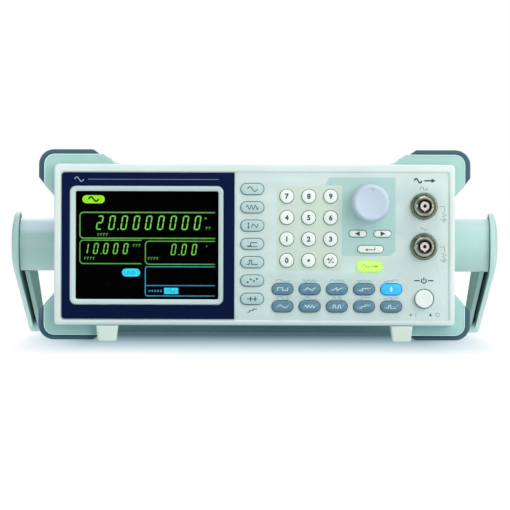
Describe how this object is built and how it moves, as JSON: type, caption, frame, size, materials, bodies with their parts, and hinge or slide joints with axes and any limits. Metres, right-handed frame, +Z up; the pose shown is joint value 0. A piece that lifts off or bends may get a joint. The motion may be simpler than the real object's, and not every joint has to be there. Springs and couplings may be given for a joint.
{
  "type": "function generator",
  "caption": "Bench function generator with a display, keypad, tuning knob, coaxial outputs, corner protectors and a swinging carrying handle.",
  "frame": {"origin": "on the floor, at the middle of the bounding box seen from above", "axes": "+X to the panel's right, -Y out of the front panel, +Z up"},
  "size_m": [0.3324, 0.293, 0.1286],
  "materials": {
    "panel": "fine satin texture, pale grey-green",
    "surround": "satin printed film, navy",
    "window": "clear, polished",
    "lcd": "black panel with glowing green and cyan figures",
    "key_mint": "smooth silicone, grey-green",
    "key_white": "smooth silicone, off-white",
    "key_blue": "smooth silicone, blue-grey",
    "key_bright": "smooth silicone, bright blue",
    "key_lit": "translucent silicone, lit lime green",
    "knob": "satin soft-touch, pale blue-grey",
    "nickel": "nickel plated, slightly dull",
    "protector": "fine moulded texture, teal",
    "rubber": "matt, dark slate blue",
    "handle": "fine moulded texture, pale teal",
    "cover": "satin powder coat, pale grey-green",
    "foot": "matt, pale green-white",
    "board": "green solder mask",
    "steel": "plain",
    "black_plastic": "satin black"
  },
  "bodies": {
    "case": {"front_bezel": "panel", "display_surround": "surround", "display_window": "window", "lcd_module": "lcd", "sync_connector": "nickel", "main_connector": "nickel", "rear_connector": "nickel", "left_pivot_hub": "handle", "right_pivot_hub": "handle", "top_cover": "cover", "bottom_cover": "cover", "rear_panel": "cover", "front_protector": "protector", "rear_protector": "protector", "front_rubber_edge": "rubber", "rear_rubber_edge": "rubber", "front_left_foot": "foot", "front_right_foot": "foot", "key_board": "board", "main_board": "board", "power_transformer": "steel", "rotary_encoder": "steel", "power_switch": "black_plastic", "mains_inlet": "black_plastic"},
    "waveform_key": {"waveform_key": "key_mint"},
    "frequency_key": {"frequency_key": "key_mint"},
    "amplitude_key": {"amplitude_key": "key_mint"},
    "offset_key": {"offset_key": "key_mint"},
    "duty_key": {"duty_key": "key_mint"},
    "point_key": {"point_key": "key_mint"},
    "value_key": {"value_key": "key_mint"},
    "number_key_7": {"number_key_7": "key_white"},
    "number_key_8": {"number_key_8": "key_white"},
    "number_key_9": {"number_key_9": "key_white"},
    "number_key_4": {"number_key_4": "key_white"},
    "number_key_5": {"number_key_5": "key_white"},
    "number_key_6": {"number_key_6": "key_white"},
    "number_key_1": {"number_key_1": "key_white"},
    "number_key_2": {"number_key_2": "key_white"},
    "number_key_3": {"number_key_3": "key_white"},
    "number_key_0": {"number_key_0": "key_white"},
    "number_key_point": {"number_key_point": "key_white"},
    "number_key_sign": {"number_key_sign": "key_white"},
    "left_arrow_key": {"left_arrow_key": "key_white"},
    "right_arrow_key": {"right_arrow_key": "key_white"},
    "enter_key": {"enter_key": "key_white"},
    "output_key": {"output_key": "key_lit"},
    "function_key_1": {"function_key_1": "key_blue"},
    "function_key_2": {"function_key_2": "key_blue"},
    "function_key_3": {"function_key_3": "key_blue"},
    "function_key_4": {"function_key_4": "key_blue"},
    "function_key_5": {"function_key_5": "key_bright"},
    "function_key_6": {"function_key_6": "key_blue"},
    "function_key_7": {"function_key_7": "key_blue"},
    "function_key_8": {"function_key_8": "key_blue"},
    "function_key_9": {"function_key_9": "key_blue"},
    "function_key_10": {"function_key_10": "key_blue"},
    "power_button": {"power_button": "key_white"},
    "tuning_knob": {"tuning_knob": "knob"},
    "handle": {"handle": "handle"}
  },
  "joints": [
    {"name": "waveform_key_press", "type": "slide", "parent": "case", "child": "waveform_key", "axis": [0, 1, 0], "range_m": [0, 0.001]},
    {"name": "frequency_key_press", "type": "slide", "parent": "case", "child": "frequency_key", "axis": [0, 1, 0], "range_m": [0, 0.001]},
    {"name": "amplitude_key_press", "type": "slide", "parent": "case", "child": "amplitude_key", "axis": [0, 1, 0], "range_m": [0, 0.001]},
    {"name": "offset_key_press", "type": "slide", "parent": "case", "child": "offset_key", "axis": [0, 1, 0], "range_m": [0, 0.001]},
    {"name": "duty_key_press", "type": "slide", "parent": "case", "child": "duty_key", "axis": [0, 1, 0], "range_m": [0, 0.001]},
    {"name": "point_key_press", "type": "slide", "parent": "case", "child": "point_key", "axis": [0, 1, 0], "range_m": [0, 0.001]},
    {"name": "value_key_press", "type": "slide", "parent": "case", "child": "value_key", "axis": [0, 1, 0], "range_m": [0, 0.001]},
    {"name": "number_key_7_press", "type": "slide", "parent": "case", "child": "number_key_7", "axis": [0, 1, 0], "range_m": [0, 0.001]},
    {"name": "number_key_8_press", "type": "slide", "parent": "case", "child": "number_key_8", "axis": [0, 1, 0], "range_m": [0, 0.001]},
    {"name": "number_key_9_press", "type": "slide", "parent": "case", "child": "number_key_9", "axis": [0, 1, 0], "range_m": [0, 0.001]},
    {"name": "number_key_4_press", "type": "slide", "parent": "case", "child": "number_key_4", "axis": [0, 1, 0], "range_m": [0, 0.001]},
    {"name": "number_key_5_press", "type": "slide", "parent": "case", "child": "number_key_5", "axis": [0, 1, 0], "range_m": [0, 0.001]},
    {"name": "number_key_6_press", "type": "slide", "parent": "case", "child": "number_key_6", "axis": [0, 1, 0], "range_m": [0, 0.001]},
    {"name": "number_key_1_press", "type": "slide", "parent": "case", "child": "number_key_1", "axis": [0, 1, 0], "range_m": [0, 0.001]},
    {"name": "number_key_2_press", "type": "slide", "parent": "case", "child": "number_key_2", "axis": [0, 1, 0], "range_m": [0, 0.001]},
    {"name": "number_key_3_press", "type": "slide", "parent": "case", "child": "number_key_3", "axis": [0, 1, 0], "range_m": [0, 0.001]},
    {"name": "number_key_0_press", "type": "slide", "parent": "case", "child": "number_key_0", "axis": [0, 1, 0], "range_m": [0, 0.001]},
    {"name": "number_key_point_press", "type": "slide", "parent": "case", "child": "number_key_point", "axis": [0, 1, 0], "range_m": [0, 0.001]},
    {"name": "number_key_sign_press", "type": "slide", "parent": "case", "child": "number_key_sign", "axis": [0, 1, 0], "range_m": [0, 0.001]},
    {"name": "left_arrow_key_press", "type": "slide", "parent": "case", "child": "left_arrow_key", "axis": [0, 1, 0], "range_m": [0, 0.001]},
    {"name": "right_arrow_key_press", "type": "slide", "parent": "case", "child": "right_arrow_key", "axis": [0, 1, 0], "range_m": [0, 0.001]},
    {"name": "enter_key_press", "type": "slide", "parent": "case", "child": "enter_key", "axis": [0, 1, 0], "range_m": [0, 0.001]},
    {"name": "output_key_press", "type": "slide", "parent": "case", "child": "output_key", "axis": [0, 1, 0], "range_m": [0, 0.001]},
    {"name": "function_key_1_press", "type": "slide", "parent": "case", "child": "function_key_1", "axis": [0, 1, 0], "range_m": [0, 0.001]},
    {"name": "function_key_2_press", "type": "slide", "parent": "case", "child": "function_key_2", "axis": [0, 1, 0], "range_m": [0, 0.001]},
    {"name": "function_key_3_press", "type": "slide", "parent": "case", "child": "function_key_3", "axis": [0, 1, 0], "range_m": [0, 0.001]},
    {"name": "function_key_4_press", "type": "slide", "parent": "case", "child": "function_key_4", "axis": [0, 1, 0], "range_m": [0, 0.001]},
    {"name": "function_key_5_press", "type": "slide", "parent": "case", "child": "function_key_5", "axis": [0, 1, 0], "range_m": [0, 0.001]},
    {"name": "function_key_6_press", "type": "slide", "parent": "case", "child": "function_key_6", "axis": [0, 1, 0], "range_m": [0, 0.001]},
    {"name": "function_key_7_press", "type": "slide", "parent": "case", "child": "function_key_7", "axis": [0, 1, 0], "range_m": [0, 0.001]},
    {"name": "function_key_8_press", "type": "slide", "parent": "case", "child": "function_key_8", "axis": [0, 1, 0], "range_m": [0, 0.001]},
    {"name": "function_key_9_press", "type": "slide", "parent": "case", "child": "function_key_9", "axis": [0, 1, 0], "range_m": [0, 0.001]},
    {"name": "function_key_10_press", "type": "slide", "parent": "case", "child": "function_key_10", "axis": [0, 1, 0], "range_m": [0, 0.001]},
    {"name": "power_button_press", "type": "slide", "parent": "case", "child": "power_button", "axis": [0, 1, 0], "range_m": [0, 0.0035]},
    {"name": "tuning_knob_turn", "type": "hinge", "parent": "case", "child": "tuning_knob", "pos_m": [0.077, -0.1303, 0.0922], "axis": [0, -1, 0], "continuous": true},
    {"name": "handle_swing", "type": "hinge", "parent": "case", "child": "handle", "pos_m": [0, -0.0615, 0.0643], "axis": [-1, 0, 0], "range_deg": [0, 249.7]}
  ]
}
